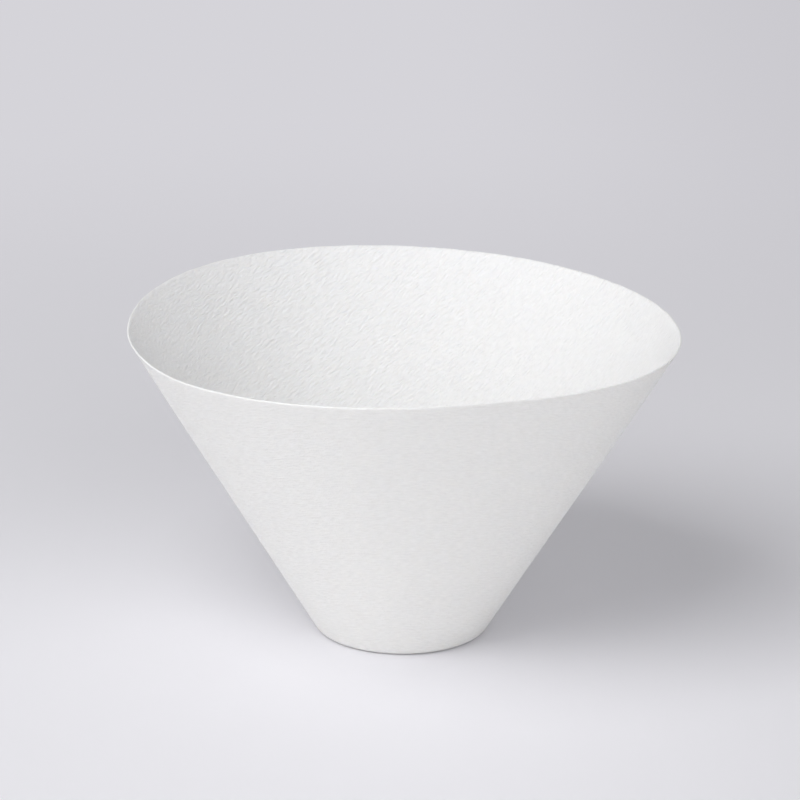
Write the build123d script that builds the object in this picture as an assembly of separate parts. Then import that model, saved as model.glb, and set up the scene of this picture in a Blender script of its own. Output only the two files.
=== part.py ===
from build123d import *
import math
import os

# A paper coffee filter: one sheet of crepe paper pressed into a cone with a flat round base.
# Millimetres and degrees, +Z up, origin at the centre of the underside, front towards -Y.
# Angles round the filter are counted from +X towards +Y.

# Driving dimensions, all measured on the outside of the paper
rim_diameter = 120.0   # across the mean rim
base_diameter = 37.8   # where wall and underside would meet if the bend were sharp
height = 70.0          # from the underside to the mean level of the rim
paper = 0.35           # thickness of the sheet
bend_radius = 2.2      # bend between base and wall

# Unevenness of the cut along the rim
rim_tilt = -0.65       # rise of the rim on the +X side, and its fall on the other
rim_saddle = 1.0       # rise and fall of a saddle with two high points
saddle_turn = -78.0    # direction of its first high point
rim_wave = 0.4         # rise and fall of a wave with three high points
wave_turn = 35.0       # direction of its first high point
cut_points = 9         # points along each side of the surface that carries the cut

# Sizes worked out from those above
rim_radius = rim_diameter / 2
base_radius = base_diameter / 2
slope = (rim_radius - base_radius) / height
rim_reach = abs(rim_tilt) + rim_saddle + rim_wave
stock_level = height + 2 * rim_reach
stock_radius = base_radius + slope * stock_level


# The sheet before its rim is cut: its outside, from the axis along the base and up the wall,
# thickened inwards and turned about the axis
def pressed_sheet():
    outside = FilletPolyline((0, 0), (base_radius, 0), (stock_radius, stock_level), radius=bend_radius)
    section = make_face(offset(outside, amount=paper, side=Side.LEFT))
    return revolve(Plane.XZ * section, Axis.Z)


# Level of the rim's cut over a point: a tilt, a saddle and a three-way wave that grow outwards
def cut_level(x, y):
    reach = math.hypot(x, y) / rim_radius
    angle = math.atan2(y, x)
    tilt = rim_tilt * reach * math.cos(angle)
    saddle = rim_saddle * reach**2 * math.cos(2 * (angle - math.radians(saddle_turn)))
    wave = rim_wave * reach**3 * math.cos(3 * (angle - math.radians(wave_turn)))
    return height + tilt + saddle + wave


# Everything above the cut, as a block whose underside follows the rim
def above_rim():
    half_width = 2 * rim_radius
    steps = [half_width * (2 * index / (cut_points - 1) - 1) for index in range(cut_points)]
    grid = [[(x, y, cut_level(x, y)) for x in steps] for y in steps]
    underside = Face.make_surface_from_array_of_points(grid)
    return extrude(underside, amount=stock_level, dir=(0, 0, 1))


paper_filter = pressed_sheet() - above_rim()

os.makedirs("parts", exist_ok=True)
export_step(paper_filter, "parts/paper_filter.step")
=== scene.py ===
import itertools
import math

import bpy
import numpy as np
from mathutils import Matrix, Vector


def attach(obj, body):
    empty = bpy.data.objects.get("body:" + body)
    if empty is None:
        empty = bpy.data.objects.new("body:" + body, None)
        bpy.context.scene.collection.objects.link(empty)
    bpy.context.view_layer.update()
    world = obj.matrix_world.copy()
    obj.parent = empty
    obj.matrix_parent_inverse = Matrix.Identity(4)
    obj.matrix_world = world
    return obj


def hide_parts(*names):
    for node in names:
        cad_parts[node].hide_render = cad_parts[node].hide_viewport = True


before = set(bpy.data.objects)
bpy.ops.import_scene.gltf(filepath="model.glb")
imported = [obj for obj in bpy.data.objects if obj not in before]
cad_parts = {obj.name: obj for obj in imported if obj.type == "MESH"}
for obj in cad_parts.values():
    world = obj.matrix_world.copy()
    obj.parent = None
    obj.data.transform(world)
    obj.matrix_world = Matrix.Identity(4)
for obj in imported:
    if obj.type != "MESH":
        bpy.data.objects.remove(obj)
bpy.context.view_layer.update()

mm = 0.001
scene = bpy.context.scene
scene.view_settings.view_transform = "Standard"


# The pressed sheet, in millimetres and degrees. The first two lines repeat the CAD solid.
filterSheet = {
    "rimRadius": 60.0, "baseRadius": 18.9, "height": 70.0, "paper": 0.35, "bendRadius": 2.2,
    "rimTilt": -0.65, "rimSaddle": 1.0, "saddleTurn": -78.0, "rimWave": 0.4, "waveTurn": 35.0,
    # springback, which leaves the rim a little out of round
    "rimShift": (-0.2, -0.7), "rimOval": 0.8, "ovalTurn": 7.0, "rimLobe": 0.85, "lobeTurn": 0.0,
    # cockle: waves round the sheet, twist of each along the wall, its height and its start,
    # and the share of the filter's height from which they are full
    "cockleWaves": (5, 8, 13), "cockleTwist": (0.035, -0.06, 0.11), "cockleHeight": (0.09, 0.07, 0.04),
    "cockleStart": (0.6, 2.1, 4.4), "cockleFull": 0.625,
    # crinkles along the crepe: space between two, how far they wander in spaces, over what length
    # along the lines and how many times quicker across them, and the levels where they start and are full
    "crinkleSpace": 3.4, "crinkleWander": 0.8, "crinkleLength": 6.0, "crinkleQuick": 2, "crinkleSeed": 11,
    "crinkleFoot": 0.4, "crinkleFull": 4.4,
    # the cut: how far its line wanders, over what length, the size of its two rounded corners
    # and the power that makes them full
    "cutWander": 0.07, "cutWanderLength": 2.4, "cutSeed": 23, "cutCorner": 0.05, "cutPower": 0.4,
    # crepe outside and inside: where its pattern starts and how far it is shifted, how far its lines
    # lean to the front (None where they follow the unrolled wall), and the height of the crinkles
    "faces": ({"seam": 90.0, "shift": 0.0, "lean": 0.39, "crinkle": 0.012},
              {"seam": 348.0, "shift": 400.0, "lean": None, "crinkle": 0.016}),
    "seamFade": 0.5,   # radians from the seam within which the crinkles fade out
    "columns": 320, "floorRows": 14, "bendRows": 8, "wallRows": 125, "edgeRows": 5,
}
latticeSide = 64   # random numbers along each side of the lattice that softField repeats


# Adds the turn of the wall from the flat, and the distances along the paper where the bend starts and ends
def addBendMarks(sheet):
    slope = (sheet["rimRadius"] - sheet["baseRadius"]) / sheet["height"]
    sheet["wallTurn"] = math.pi / 2 - math.atan(slope)
    sheet["bendStart"] = sheet["baseRadius"] - sheet["bendRadius"] * math.tan(sheet["wallTurn"] / 2)
    sheet["bendEnd"] = sheet["bendStart"] + sheet["bendRadius"] * sheet["wallTurn"]


# Random numbers on the corners of a lattice of cubes, blended inside each cube by a smooth step
def softField(points, cell, seed):
    corners = np.random.default_rng(seed).uniform(-1, 1, (latticeSide, latticeSide, latticeSide))
    place = points / cell
    low = np.floor(place).astype(int)
    share = place - low
    share = share * share * (3 - 2 * share)
    field = np.zeros(points.shape[:-1])
    for step in itertools.product((0, 1), repeat=3):
        weight = np.where(np.array(step) == 1, share, 1 - share).prod(axis=-1)
        x, y, z = np.moveaxis((low + step) % latticeSide, -1, 0)
        field += weight * corners[x, y, z]
    return field


# A point of the sheet from its distance along the paper from the axis and its depth under the outside.
# The paper runs flat, turns up round the bend and goes straight up the wall, and the depth is measured
# square to it. Gives radius, level and the turn of the paper there.
def sectionPoint(distance, depth, sheet):
    wallTurn = sheet["wallTurn"]
    bend = sheet["bendRadius"]
    turn = np.clip((distance - sheet["bendStart"]) / bend, 0, wallTurn)
    onFlat = np.minimum(distance, sheet["bendStart"])
    onWall = np.maximum(distance - sheet["bendEnd"], 0)
    radius = onFlat + bend * np.sin(turn) + onWall * math.cos(wallTurn) - depth * np.sin(turn)
    level = bend * (1 - np.cos(turn)) + onWall * math.sin(wallTurn) + depth * np.cos(turn)
    return radius, level, turn


# Level of the cut: the mean height plus a tilt, a saddle and a three-way wave that grow with the radius
def cutLevel(radius, angle, sheet):
    reach = radius / sheet["rimRadius"]
    tilt = sheet["rimTilt"] * reach * np.cos(angle)
    saddle = sheet["rimSaddle"] * reach**2 * np.cos(2 * (angle - math.radians(sheet["saddleTurn"])))
    wave = sheet["rimWave"] * reach**3 * np.cos(3 * (angle - math.radians(sheet["waveTurn"])))
    return sheet["height"] + tilt + saddle + wave


# Distance along the paper at which the wall meets the cut, for each angle. The level settles in a few
# rounds, as it depends on the radius there, and the cut wanders a little, as scissors do.
def rimDistance(angle, sheet):
    wallTurn = sheet["wallTurn"]
    level = cutLevel(sheet["rimRadius"], angle, sheet)
    for _ in range(3):
        level = cutLevel(sheet["baseRadius"] + level / math.tan(wallTurn), angle, sheet)
    bendTop = sheet["bendRadius"] * (1 - math.cos(wallTurn))
    onRim = sheet["rimRadius"] * np.stack([np.cos(angle), np.sin(angle), 0 * angle], axis=-1)
    wander = sheet["cutWander"] * softField(onRim, sheet["cutWanderLength"], sheet["cutSeed"])
    return sheet["bendEnd"] + (level - bendTop) / math.sin(wallTurn) + wander


# Closed grid of the sheet: rows go from the middle of the underside out and up to the cut, over the
# cut, and back down the inside to the middle of the floor; columns go round the axis
def sheetGrid(sheet):
    bendStart, bendEnd = sheet["bendStart"], sheet["bendEnd"]
    angle = np.linspace(0, math.tau, sheet["columns"], endpoint=False)
    flat = np.linspace(0, bendStart, sheet["floorRows"] + 1)[1:]
    bend = np.linspace(bendStart, bendEnd, sheet["bendRows"] + 1)[1:]
    climb = np.linspace(0, 1, sheet["wallRows"] + 1)[1:]
    wallTop = rimDistance(angle, sheet) - sheet["cutCorner"]
    wall = bendEnd + climb[:, None] * (wallTop - bendEnd)
    low = np.repeat(np.concatenate([flat, bend])[:, None], len(angle), axis=1)
    side = np.concatenate([low, wall])

    # across the cut the paper bulges by the size of its two rounded corners
    across = np.linspace(0, 1, sheet["edgeRows"] + 2)[1:-1]
    edge = wallTop + sheet["cutCorner"] * np.sin(math.pi * across[:, None])**sheet["cutPower"]
    distance = np.concatenate([side, edge, side[::-1]])
    depthRows = np.concatenate([np.zeros(len(side)), across, np.ones(len(side))]) * sheet["paper"]
    depth = np.repeat(depthRows[:, None], len(angle), axis=1)
    return np.broadcast_to(angle, distance.shape), distance, depth, len(side)


# Place along and across the crepe's lines, in millimetres, from the turn round the axis since the seam.
# Lines that lean: across them counts the way up the paper plus the lean times the reach towards the seam,
# and along them the arc from the side opposite the seam. Other lines run straight on the wall unrolled
# about the tip of its cone.
def crepePattern(turn, distance, face, sheet):
    narrowing = math.cos(sheet["wallTurn"])
    fromTip = sectionPoint(sheet["bendEnd"], 0, sheet)[0] / narrowing - sheet["bendEnd"] + distance
    if face["lean"] is not None:
        radius = fromTip * narrowing
        return radius * (turn - math.pi), distance + face["lean"] * radius * np.cos(turn) + face["shift"]
    fan = narrowing * (turn - math.pi)
    return fromTip * np.sin(fan), fromTip * np.cos(fan) + face["shift"]


# Height of the crinkles of one face: ripples across the crepe's lines whose phase and strength wander
# from place to place, fading out at the seam, where two ends of the pattern meet
def crinkleHeight(angle, distance, face, sheet):
    turn = (angle - math.radians(face["seam"])) % math.tau
    along, across = crepePattern(turn, distance, face, sheet)
    spot = np.stack([along, sheet["crinkleQuick"] * across, 0 * along], axis=-1)
    wander = sheet["crinkleWander"] * softField(spot, sheet["crinkleLength"], sheet["crinkleSeed"])
    strength = 1 + softField(spot, sheet["crinkleLength"], sheet["crinkleSeed"] + 1)
    fade = np.clip(np.minimum(turn, math.tau - turn) / sheet["seamFade"], 0, 1)
    ripple = np.sin(math.tau * (across / sheet["crinkleSpace"] + wander))
    return face["crinkle"] * fade * strength * ripple


# Places the grid: the section turned about the axis, then springback that grows with the level, then
# cockle and crinkles along the paper's normal, both fading out towards the base
def placeSheet(angle, distance, depth, sheet):
    radius, level, turn = sectionPoint(distance, depth, sheet)
    share = np.clip(level / sheet["height"], 0, None)
    oval = sheet["rimOval"] * np.cos(2 * (angle - math.radians(sheet["ovalTurn"])))
    lobe = sheet["rimLobe"] * np.cos(3 * (angle - math.radians(sheet["lobeTurn"])))
    radius = radius + share * (oval + lobe)

    cockle = np.zeros(distance.shape)
    waves = zip(sheet["cockleWaves"], sheet["cockleTwist"], sheet["cockleHeight"], sheet["cockleStart"])
    for count, twist, high, start in waves:
        cockle += high * np.sin(count * angle + twist * distance + start)

    outward, inward = [crinkleHeight(angle, distance, face, sheet) for face in sheet["faces"]]
    crinkle = outward + depth / sheet["paper"] * (inward - outward)
    cockleShare = np.clip(share / sheet["cockleFull"], 0, 1)
    crinkleRise = sheet["crinkleFull"] - sheet["crinkleFoot"]
    crinkleShare = np.clip((level - sheet["crinkleFoot"]) / crinkleRise, 0, 1)
    push = cockle * cockleShare + crinkle * crinkleShare
    radius = radius + push * np.sin(turn)
    level = level - push * np.cos(turn)
    x = radius * np.cos(angle) + share * sheet["rimShift"][0]
    y = radius * np.sin(angle) + share * sheet["rimShift"][1]
    return np.stack([x, y, level], axis=-1) * mm


# Crepe pattern at the corners of the faces, in the order of the mesh: quads, then the two fans.
# The wall has the pattern of its own side, and the base lies as it is.
def patternCorners(angle, distance, sideRows, sheet):
    cornerTurn = math.tau / sheet["columns"] * np.array([0, 1, 1, 0])
    outside = (np.arange(len(distance) - 1) < sideRows + sheet["edgeRows"] // 2)[:, None, None]
    beside = np.roll(distance, -1, axis=1)
    reach = np.stack([distance[:-1], beside[:-1], beside[1:], distance[1:]], axis=-1)
    swing = angle[:-1, :, None] + cornerTurn

    def wallPattern(face):
        turn = (angle[:-1, :, None] - math.radians(face["seam"])) % math.tau + cornerTurn
        return np.stack(crepePattern(turn, reach, face, sheet), axis=-1)

    wall = np.where(outside[..., None], *[wallPattern(face) for face in sheet["faces"]])
    base = np.stack([reach * np.cos(swing), reach * np.sin(swing)], axis=-1)
    onBase = (reach.max(axis=-1) <= sheet["bendStart"])[..., None, None]
    quads = np.where(onBase, base, wall)
    middle = np.zeros((sheet["columns"], 1, 2))
    firstFan = np.concatenate([middle, base[0, :, 1:2], base[0, :, 0:1]], axis=1)
    lastFan = np.concatenate([base[-1, :, 3:4], base[-1, :, 2:3], middle], axis=1)
    return np.concatenate([quads.reshape(-1, 2), firstFan.reshape(-1, 2), lastFan.reshape(-1, 2)])


# The materials are those of the outside, the inside and the cut
def makeFilterSheet(sheet, materials):
    angle, distance, depth, sideRows = sheetGrid(sheet)
    points = placeSheet(angle, distance, depth, sheet)
    rows, columns = distance.shape
    # the two poles: the middle of the underside and of the floor
    poles = np.array([[0, 0, 0], [0, 0, sheet["paper"] * mm]])
    verts = np.concatenate([points.reshape(-1, 3), poles])

    index = np.arange(rows * columns).reshape(rows, columns)
    beside = np.roll(index, -1, axis=1)
    quads = np.stack([index[:-1], beside[:-1], beside[1:], index[1:]], axis=-1).reshape(-1, 4)
    firstFan = np.stack([np.full(columns, rows * columns), beside[0], index[0]], axis=-1)
    lastFan = np.stack([index[-1], beside[-1], np.full(columns, rows * columns + 1)], axis=-1)

    mesh = bpy.data.meshes.new("filterSheet")
    mesh.from_pydata(verts.tolist(), [], quads.tolist() + firstFan.tolist() + lastFan.tolist())
    pattern = mesh.uv_layers.new(name="flatPattern")
    corners = patternCorners(angle, distance, sideRows, sheet)
    pattern.uv.foreach_set("vector", corners.ravel().astype(np.float32))

    outside, inside, cut = range(3)
    band = np.arange(rows - 1)
    upper = np.where(band > sideRows + sheet["edgeRows"] - 1, inside, cut)
    finish = np.repeat(np.where(band < sideRows - 1, outside, upper), columns)
    finish = np.concatenate([finish, np.full(columns, outside), np.full(columns, inside)])
    for material in materials:
        mesh.materials.append(material)
    mesh.polygons.foreach_set("material_index", finish.astype(np.int32))
    mesh.polygons.foreach_set("use_smooth", np.ones(len(mesh.polygons), dtype=bool))
    mesh.update()
    piece = bpy.data.objects.new("filter_sheet", mesh)
    scene.collection.objects.link(piece)
    return piece


# Noises of the crepe: wrinkles count their own cells, fibres and clouds are in cells to the metre
crepeNoises = {
    "wrinkles": {"Scale": 1.0, "Detail": 1.8, "Roughness": 0.5, "Distortion": 0.06},
    "fibres": {"Scale": 2600.0, "Detail": 1.0},
    "clouds": {"Scale": 260.0, "Detail": 4.0, "Roughness": 0.7},
}
crepeInputs = ("Along", "Across", "Fibre", "Cloud")


def addNoise(tree, values, place):
    noise = tree.nodes.new("ShaderNodeTexNoise")
    for name, value in values.items():
        noise.inputs[name].default_value = value
    tree.links.new(place, noise.inputs["Vector"])
    return noise


# Blends two values by a third
def addMix(tree, share, first, second):
    mix = tree.nodes.new("ShaderNodeMix")
    tree.links.new(share, mix.inputs["Factor"])
    tree.links.new(first, mix.inputs["A"])
    tree.links.new(second, mix.inputs["B"])
    return mix


# Crepe of the paper. Height: short wrinkles along the lines of the pattern, with fibres on them.
# ShadeAndClouds: painted shade between the wrinkles and painted light on them, with the sheet's own soft
# clouds.
def makeCrepeGroup(noises):
    group = bpy.data.node_groups.new("crepe", "ShaderNodeTree")
    for name in crepeInputs:
        group.interface.new_socket(name, in_out="INPUT", socket_type="NodeSocketFloat")
    for name in ("Height", "ShadeAndClouds"):
        group.interface.new_socket(name, in_out="OUTPUT", socket_type="NodeSocketFloat")
    nodes, links = group.nodes, group.links
    given = nodes.new("NodeGroupInput")
    result = nodes.new("NodeGroupOutput")

    flat = nodes.new("ShaderNodeUVMap")
    flat.uv_map = "flatPattern"
    cell = nodes.new("ShaderNodeCombineXYZ")
    cell.inputs["Z"].default_value = 1
    links.new(given.outputs["Along"], cell.inputs["X"])
    links.new(given.outputs["Across"], cell.inputs["Y"])
    counted = nodes.new("ShaderNodeVectorMath")   # millimetres to noise cells
    counted.operation = "DIVIDE"
    links.new(flat.outputs["UV"], counted.inputs[0])
    links.new(cell.outputs["Vector"], counted.inputs[1])
    wrinkles = addNoise(group, noises["wrinkles"], counted.outputs["Vector"])
    wrinkles.noise_dimensions = "2D"

    place = nodes.new("ShaderNodeTexCoord")
    fibres = addNoise(group, noises["fibres"], place.outputs["Object"])
    clouds = addNoise(group, noises["clouds"], place.outputs["Object"])
    height = addMix(group, given.outputs["Fibre"], wrinkles.outputs["Fac"], fibres.outputs["Fac"])
    # painted shade and light: the value is low between the wrinkles and high on them, mixed with the
    # sheet's own clouds
    shadeAndClouds = addMix(group, given.outputs["Cloud"], height.outputs["Result"], clouds.outputs["Fac"])
    links.new(height.outputs["Result"], result.inputs["Height"])
    links.new(shadeAndClouds.outputs["Result"], result.inputs["ShadeAndClouds"])
    return group


# What the paper is all through, and the marks between which its colour runs from low, painted shade
# between the wrinkles, to high, painted light on them
paperBody = {"Specular IOR Level": 0.2, "Subsurface Weight": 0.4, "Subsurface Radius": (1.0, 0.95, 0.88),
             "Subsurface Scale": 0.0004}
shadeMarks = (0.3, 0.7)

# One finish each for the outside, the inside and the cut of the sheet: colours between and on the
# wrinkles, which are painted shade in the hollows and painted light on the crests, height of the relief,
# length and width of a wrinkle, all three in millimetres, share of fibres in the relief and of clouds in
# the colour, roughness
paperFinishes = {
    "paperOutside": {"low": (0.872, 0.869, 0.844), "high": (0.932, 0.929, 0.903), "bump": 0.25,
                     "along": 1.7, "across": 0.38, "fibre": 0.25, "cloud": 0.15, "rough": (0.86, 0.95)},
    # painted light: the inside's colours are set lighter than the outside's, though both faces are the
    # same paper
    "paperInside": {"low": (0.899, 0.897, 0.895), "high": (0.945, 0.943, 0.941), "bump": 0.36,
                    "along": 1.7, "across": 0.54, "fibre": 0.15, "cloud": 0.15, "rough": (0.86, 0.95)},
    "paperCut": {"low": (0.88, 0.877, 0.868), "high": (0.92, 0.917, 0.908), "bump": 0.05,
                 "along": 0.8, "across": 0.8, "fibre": 0.6, "cloud": 0.3, "rough": (0.9, 0.97)},
}


# Colour that runs from one to another as the value goes between two marks
def addRamp(tree, value, first, last, marks=(0.0, 1.0)):
    ramp = tree.nodes.new("ShaderNodeValToRGB")
    for element, colour, mark in zip(ramp.color_ramp.elements, (first, last), marks):
        element.position = mark
        element.color = (*colour, 1)
    tree.links.new(value, ramp.inputs["Fac"])
    return ramp


def makePaper(name, finish, crepeGroup):
    material = bpy.data.materials.new(name)
    material.use_nodes = True
    tree = material.node_tree
    nodes, links = tree.nodes, tree.links
    paper = nodes["Principled BSDF"]
    for socket, value in paperBody.items():
        paper.inputs[socket].default_value = value

    crepe = nodes.new("ShaderNodeGroup")
    crepe.node_tree = crepeGroup
    for socket in crepeInputs:
        crepe.inputs[socket].default_value = finish[socket.lower()]
    # painted shade and light: the colour is darker between the wrinkles and lighter on them, plus the
    # sheet's own clouds
    crepeShade = addRamp(tree, crepe.outputs["ShadeAndClouds"], finish["low"], finish["high"], shadeMarks)
    links.new(crepeShade.outputs["Color"], paper.inputs["Base Color"])

    rough = nodes.new("ShaderNodeMapRange")
    rough.inputs["To Min"].default_value = finish["rough"][0]
    rough.inputs["To Max"].default_value = finish["rough"][1]
    links.new(crepe.outputs["Height"], rough.inputs["Value"])
    links.new(rough.outputs["Result"], paper.inputs["Roughness"])

    relief = nodes.new("ShaderNodeBump")
    relief.inputs["Distance"].default_value = finish["bump"] * mm
    links.new(crepe.outputs["Height"], relief.inputs["Height"])
    links.new(relief.outputs["Normal"], paper.inputs["Normal"])
    return material


addBendMarks(filterSheet)
crepeGroup = makeCrepeGroup(crepeNoises)
papers = [makePaper(name, finish, crepeGroup) for name, finish in paperFinishes.items()]
sheetPiece = makeFilterSheet(filterSheet, papers)
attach(sheetPiece, "root")
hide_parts("paper_filter")
print("sheet:", len(sheetPiece.data.vertices), "points,", len(sheetPiece.data.polygons), "faces")


# Pale round floor that runs up into a backdrop all the way round, in metres
studio = {
    "floorRings": (0.3, 0.8, 1.6, 2.4), "coveRadius": 0.8, "coveRows": 16, "wallTop": 2.0, "columns": 96,
    "floorRough": 0.8, "floorShine": 0.1,
    # painted pool of light round the filter, then a plain backdrop colour from backStart to backEnd
    "poolMiddle": (-0.025, -0.06, 0), "nearColour": (0.885, 0.88, 0.915), "farColour": (0.83, 0.825, 0.86),
    "poolStart": 0.05, "poolEnd": 0.17, "backStart": 0.14, "backEnd": 0.5,
    # painted shade: the backdrop darkens to the right between these two places
    "backLeft": (0.666, 0.658, 0.696), "backRight": (0.598, 0.59, 0.626), "backTurn": (0.0, 0.16),
    # soft lamps: direction from the filter, distance, side and power in watts
    "lamps": {
        "keyLamp": {"from": (-0.43, -0.45, 0.78), "distance": 1.2, "side": 0.8, "power": 7.1},
        "frontLamp": {"from": (0.35, -0.87, 0.34), "distance": 1.5, "side": 1.2, "power": 6.2},
        "leftLamp": {"from": (-0.9, -0.35, 0.25), "distance": 1.4, "side": 1.0, "power": 3.8},
        "backLamp": {"from": (0.62, 0.76, 0.2), "distance": 1.5, "side": 0.6, "power": 1.9},
    },
    "aim": (0, 0, 0.035), "worldColour": (1.0, 1.0, 1.0), "worldStrength": 0.35,
}


# A flat disc, a quarter round and an upright wall, turned about the axis
def makeFloor(stage):
    flat = np.array(stage["floorRings"])
    turn = np.linspace(0, math.pi / 2, stage["coveRows"] + 1)[1:]
    radius = np.concatenate([flat, flat[-1] + stage["coveRadius"] * np.sin(turn)])
    level = np.concatenate([0 * flat, stage["coveRadius"] * (1 - np.cos(turn))])
    radius = np.append(radius, radius[-1])[:, None]
    level = np.append(level, stage["wallTop"])[:, None]
    angle = np.linspace(0, math.tau, stage["columns"], endpoint=False)
    grid = np.stack(np.broadcast_arrays(radius * np.cos(angle), radius * np.sin(angle), level), axis=-1)
    rows, columns = grid.shape[:2]
    index = np.arange(rows * columns).reshape(rows, columns)
    beside = np.roll(index, -1, axis=1)
    quads = np.stack([index[:-1], index[1:], beside[1:], beside[:-1]], axis=-1).reshape(-1, 4)
    mesh = bpy.data.meshes.new("floor")
    mesh.from_pydata(grid.reshape(-1, 3).tolist(), [], quads.tolist() + [index[0].tolist()])
    mesh.polygons.foreach_set("use_smooth", np.ones(len(mesh.polygons), dtype=bool))
    floor = bpy.data.objects.new("floor", mesh)
    scene.collection.objects.link(floor)
    return floor


# Soft step from 0 to 1 as the value goes from start to end
def addFade(tree, value, start, end):
    fade = tree.nodes.new("ShaderNodeMapRange")
    fade.interpolation_type = "SMOOTHSTEP"
    fade.inputs["From Min"].default_value = start
    fade.inputs["From Max"].default_value = end
    tree.links.new(value, fade.inputs["Value"])
    return fade.outputs["Result"]


def addMath(tree, operation, first, second):
    step = tree.nodes.new("ShaderNodeMath")
    step.operation = operation
    tree.links.new(first, step.inputs[0])
    tree.links.new(second, step.inputs[1])
    return step.outputs["Value"]


# Floor colour is painted lightest in a pool of light round the filter and darker round it, more so to the
# right, which deepens the filter's shadow there as painted shade; further out the camera, reflections and
# see-through pieces show the plain backdrop colour
def makeFloorMaterial(stage):
    material = bpy.data.materials.new("floorPaper")
    material.use_nodes = True
    tree = material.node_tree
    nodes, links = tree.nodes, tree.links
    paint = nodes["Principled BSDF"]
    paint.inputs["Roughness"].default_value = stage["floorRough"]
    paint.inputs["Specular IOR Level"].default_value = stage["floorShine"]
    place = nodes.new("ShaderNodeTexCoord")
    reach = nodes.new("ShaderNodeVectorMath")
    reach.operation = "DISTANCE"
    reach.inputs[1].default_value = stage["poolMiddle"]
    links.new(place.outputs["Object"], reach.inputs[0])
    # painted light: the floor colour is lightest in a pool round a middle set to the left of the filter
    # and darker further out
    pool = addFade(tree, reach.outputs["Value"], stage["poolStart"], stage["poolEnd"])
    colour = addRamp(tree, pool, stage["nearColour"], stage["farColour"])
    links.new(colour.outputs["Color"], paint.inputs["Base Color"])

    back = addFade(tree, reach.outputs["Value"], stage["backStart"], stage["backEnd"])
    ray = nodes.new("ShaderNodeLightPath")
    seen = addMath(tree, "MAXIMUM", ray.outputs["Is Camera Ray"], ray.outputs["Is Glossy Ray"])
    seen = addMath(tree, "MAXIMUM", seen, ray.outputs["Is Transmission Ray"])
    share = addMath(tree, "MULTIPLY", back, seen)

    # painted shade: the backdrop's colour darkens from left to right
    side = nodes.new("ShaderNodeSeparateXYZ")
    links.new(place.outputs["Object"], side.inputs["Vector"])
    across = addFade(tree, side.outputs["X"], *stage["backTurn"])
    backdrop = addRamp(tree, across, stage["backLeft"], stage["backRight"])
    plain = nodes.new("ShaderNodeEmission")
    links.new(backdrop.outputs["Color"], plain.inputs["Color"])
    mix = nodes.new("ShaderNodeMixShader")
    links.new(share, mix.inputs["Fac"])
    links.new(paint.outputs["BSDF"], mix.inputs[1])
    links.new(plain.outputs["Emission"], mix.inputs[2])
    links.new(mix.outputs["Shader"], nodes["Material Output"].inputs["Surface"])
    return material


def addLamp(name, aim, lampPlan):
    lamp = bpy.data.lights.new(name, "AREA")
    lamp.size = lampPlan["side"]
    lamp.energy = lampPlan["power"]
    light = bpy.data.objects.new(name, lamp)
    away = Vector(lampPlan["from"]).normalized()
    light.location = Vector(aim) + away * lampPlan["distance"]
    light.rotation_euler = away.to_track_quat("Z", "Y").to_euler()
    light.visible_camera = False
    scene.collection.objects.link(light)


floorPiece = makeFloor(studio)
floorPiece.data.materials.append(makeFloorMaterial(studio))
for lampName, lampPlan in studio["lamps"].items():
    addLamp(lampName, studio["aim"], lampPlan)
world = bpy.data.worlds.new("softRoom")
world.use_nodes = True
world.node_tree.nodes["Background"].inputs["Color"].default_value = (*studio["worldColour"], 1)
world.node_tree.nodes["Background"].inputs["Strength"].default_value = studio["worldStrength"]
scene.world = world
print("studio: floor,", len(studio["lamps"]), "lamps and a soft room")


# The photograph's viewpoint: metres and degrees, lens and sensor in millimetres
photoCamera = {
    "place": (-0.000697, -0.79597, 0.32102), "tilt": 71.367, "roll": 0.424, "lens": 172.43, "sensor": 36,
}


def addCamera(view):
    lens = bpy.data.cameras.new("photoCamera")
    lens.sensor_fit = "HORIZONTAL"
    lens.sensor_width = view["sensor"]
    lens.lens = view["lens"]
    camera = bpy.data.objects.new("photoCamera", lens)
    camera.location = view["place"]
    tilt = Matrix.Rotation(math.radians(view["tilt"]), 4, "X")
    roll = Matrix.Rotation(math.radians(view["roll"]), 4, "Z")
    camera.rotation_euler = (tilt @ roll).to_euler()
    scene.collection.objects.link(camera)
    return camera


scene.camera = addCamera(photoCamera)
print("camera:", photoCamera["lens"], "mm")

bpy.context.view_layer.update()
